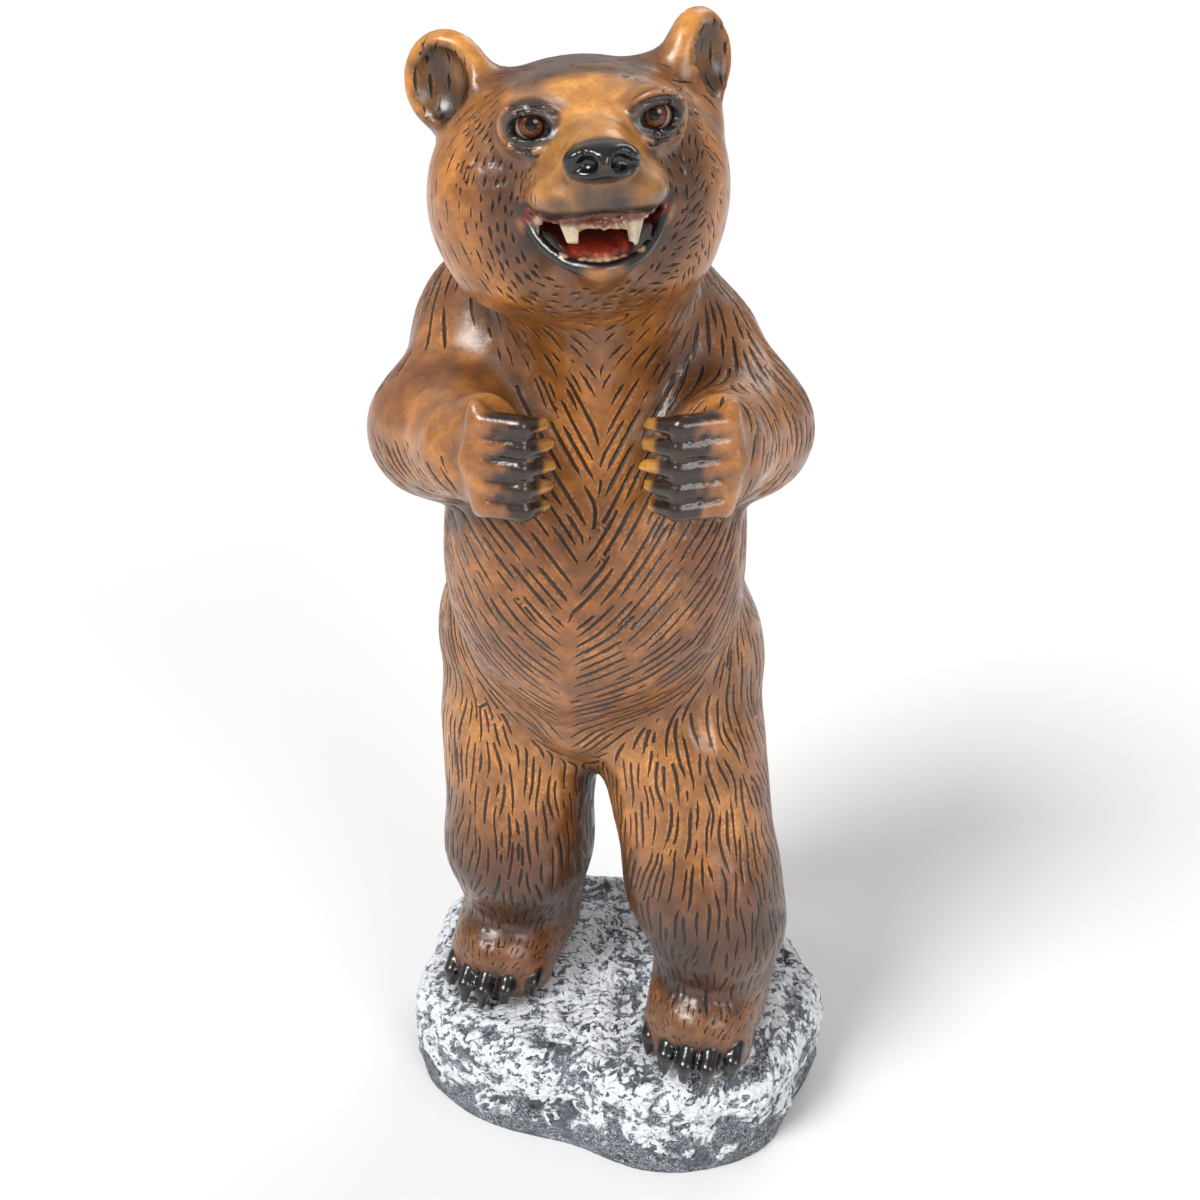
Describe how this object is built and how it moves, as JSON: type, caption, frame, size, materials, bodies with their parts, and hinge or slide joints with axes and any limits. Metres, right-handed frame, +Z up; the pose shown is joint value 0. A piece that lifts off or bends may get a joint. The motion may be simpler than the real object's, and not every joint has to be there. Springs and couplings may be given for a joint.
{
  "type": "cast aluminium bear statue on a rock plinth",
  "caption": "Standing bear cast in aluminium, painted as carved brown fur, with glass eyes, raised fists and an open mouth, on a painted rock plinth that rests on the ground.",
  "frame": {"origin": "middle of the plinth's footprint, on its flat underside", "axes": "+Z up, -Y towards the front of the plinth and the bear's toes, +X towards the bear's left"},
  "size_m": [0.6378, 0.566, 1.5349],
  "materials": {
    "painted_fur": "satin varnish over brown, ochre and black paint",
    "painted_rock": "satin black paint dry-brushed with white",
    "glass_eye": "polished, painted behind"
  },
  "bodies": {
    "root": {"bear": "painted_fur", "rock_plinth": "painted_rock", "eye_right": "glass_eye", "eye_left": "glass_eye"}
  },
  "joints": []
}
